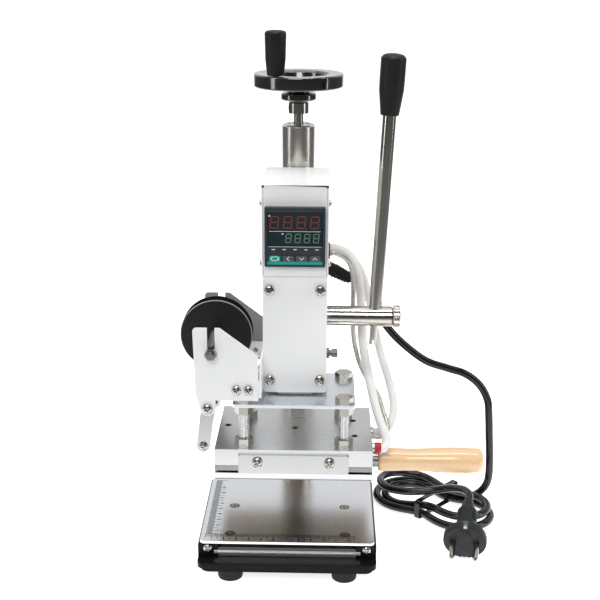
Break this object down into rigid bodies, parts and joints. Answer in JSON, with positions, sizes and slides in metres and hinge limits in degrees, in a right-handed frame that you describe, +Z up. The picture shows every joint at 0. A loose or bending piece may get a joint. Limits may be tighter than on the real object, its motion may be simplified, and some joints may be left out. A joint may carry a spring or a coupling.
{
  "type": "hot foil stamping machine",
  "caption": "Bench lever press that stamps foil with a heated block: rack-driven ram on a round column, sliding die plate and worktable, foil reel, controller and handwheel height screw.",
  "frame": {"origin": "on the table, under the middle of the base plate", "axes": "+Z up, -Y to the operator, +X to the operator's right"},
  "size_m": [0.2735, 0.205, 0.425],
  "materials": {
    "black_paint": "satin black enamel",
    "rubber": "moulded matte",
    "nickel": "polished nickel plate",
    "zinc": "bright zinc plate",
    "screws": "nickel-plated steel",
    "white_paint": "white powder coat",
    "aluminium": "milled and brushed",
    "stainless": "mirror-brushed stainless",
    "dark_steel": "oiled dark steel",
    "machined_steel": "ground steel",
    "bronze": "sintered bronze",
    "bakelite": "glossy black phenolic",
    "black_plastic": "matte black",
    "controller": "dark moulded housing",
    "key_green": "teal key",
    "key_grey": "grey key",
    "sleeve": "woven glass sleeve",
    "braid": "braided steel over white",
    "cord": "glossy black sheath",
    "wood": "varnished beech"
  },
  "bodies": {
    "base": {"base_plate": "black_paint", "rubber_feet": "rubber", "base_fasteners": "screws", "table_rails": "black_paint", "column": "nickel", "column_flange": "black_paint", "column_nut": "bronze", "mains_cord": "cord", "mains_cord_hank": "cord", "cord_tie": "cord", "mains_plug": "black_plastic", "plug_pins": "screws"},
    "worktable": {"table_carriage": "aluminium", "table_spacer": "dark_steel", "work_plate": "stainless", "work_plate_screws": "screws"},
    "head": {"head_body": "white_paint", "front_cover": "white_paint", "head_screws": "screws", "hood_shell": "white_paint", "hood_panel": "white_paint", "controller_case": "controller", "pinion_bushes": "bronze", "lift_carrier": "machined_steel", "return_spring": "dark_steel", "cord_gland": "rubber", "lead_grommet": "rubber", "gib_screw": "dark_steel", "foil_mount": "white_paint", "foil_brackets": "white_paint", "heater_leads": "sleeve", "thermocouple_lead": "braid"},
    "key_mode": {"key_mode": "key_green"},
    "key_shift": {"key_shift": "key_grey"},
    "key_down": {"key_down": "key_grey"},
    "key_up": {"key_up": "key_grey"},
    "lever": {"pinion_shaft": "nickel", "pinion": "machined_steel", "lever_rod": "nickel", "lever_grip": "black_plastic"},
    "thumb_screw": {"thumb_screw": "nickel"},
    "ram": {"ram": "machined_steel", "upper_plate": "zinc", "press_fasteners": "zinc", "heat_block": "aluminium", "slideway_plate": "machined_steel", "cartridge_heaters": "stainless", "guide_plates": "aluminium"},
    "die": {"die_plate": "aluminium", "handle_ferrule": "machined_steel", "wood_handle": "wood"},
    "reel": {"reel_shaft": "screws", "reel_spring": "dark_steel", "reel_flanges": "black_plastic"},
    "guide": {"guide_arms": "aluminium", "guide_rod": "screws"},
    "handwheel": {"handwheel": "bakelite", "lead_screw": "screws", "crank_axle": "screws"},
    "crank": {"crank_grip": "black_plastic"}
  },
  "joints": [
    {"name": "table_slide", "type": "slide", "parent": "base", "child": "worktable", "axis": [0, -1, 0], "range_m": [0, 0.06]},
    {"name": "head_height", "type": "slide", "parent": "base", "child": "head", "axis": [0, 0, 1], "range_m": [-0.006, 0.03], "deforming": ["mains_cord"]},
    {"name": "handwheel_turn", "type": "hinge", "parent": "head", "child": "handwheel", "pos_m": [0.004, 0.0625, 0.38], "axis": [0, 0, 1], "range_deg": [-1729, 8641]},
    {"name": "crank_turn", "type": "hinge", "parent": "handwheel", "child": "crank", "pos_m": [-0.01435, 0.03814, 0.405], "axis": [0, 0, 1], "continuous": true},
    {"name": "lever_turn", "type": "hinge", "parent": "head", "child": "lever", "pos_m": [0.07, 0.0125, 0.192], "axis": [1, 0, 0], "range_deg": [0, 110]},
    {"name": "ram_slide", "type": "slide", "parent": "head", "child": "ram", "axis": [0, 0, 1], "range_m": [-0.0288, 0], "stiffness_N_per_m": 250, "springref_m": 0.16, "deforming": ["return_spring", "heater_leads", "thermocouple_lead"]},
    {"name": "thumb_screw_turn", "type": "hinge", "parent": "lever", "child": "thumb_screw", "pos_m": [0.085, 0.0125, 0.192], "axis": [1, 0, 0], "continuous": true},
    {"name": "die_slide", "type": "slide", "parent": "ram", "child": "die", "axis": [1, 0, 0], "range_m": [0, 0.11]},
    {"name": "reel_turn", "type": "hinge", "parent": "head", "child": "reel", "pos_m": [-0.0618, 0, 0.18035], "axis": [0, 1, 0], "continuous": true},
    {"name": "guide_swing", "type": "hinge", "parent": "head", "child": "guide", "pos_m": [-0.0654, 0, 0.1333], "axis": [0, 1, 0], "range_deg": [0, 40]},
    {"name": "key_mode_press", "type": "slide", "parent": "head", "child": "key_mode", "axis": [0, 1, 0], "range_m": [0, 0.0006], "stiffness_N_per_m": 600, "springref_m": -0.0015},
    {"name": "key_shift_press", "type": "slide", "parent": "head", "child": "key_shift", "axis": [0, 1, 0], "range_m": [0, 0.0006], "stiffness_N_per_m": 600, "springref_m": -0.0015},
    {"name": "key_down_press", "type": "slide", "parent": "head", "child": "key_down", "axis": [0, 1, 0], "range_m": [0, 0.0006], "stiffness_N_per_m": 600, "springref_m": -0.0015},
    {"name": "key_up_press", "type": "slide", "parent": "head", "child": "key_up", "axis": [0, 1, 0], "range_m": [0, 0.0006], "stiffness_N_per_m": 600, "springref_m": -0.0015}
  ],
  "couplings": [
    {"joint": "handwheel_turn", "follows": "head_height", "rad_per_m": 5026.5},
    {"joint": "ram_slide", "follows": "lever_turn", "m_per_rad": -0.015}
  ]
}
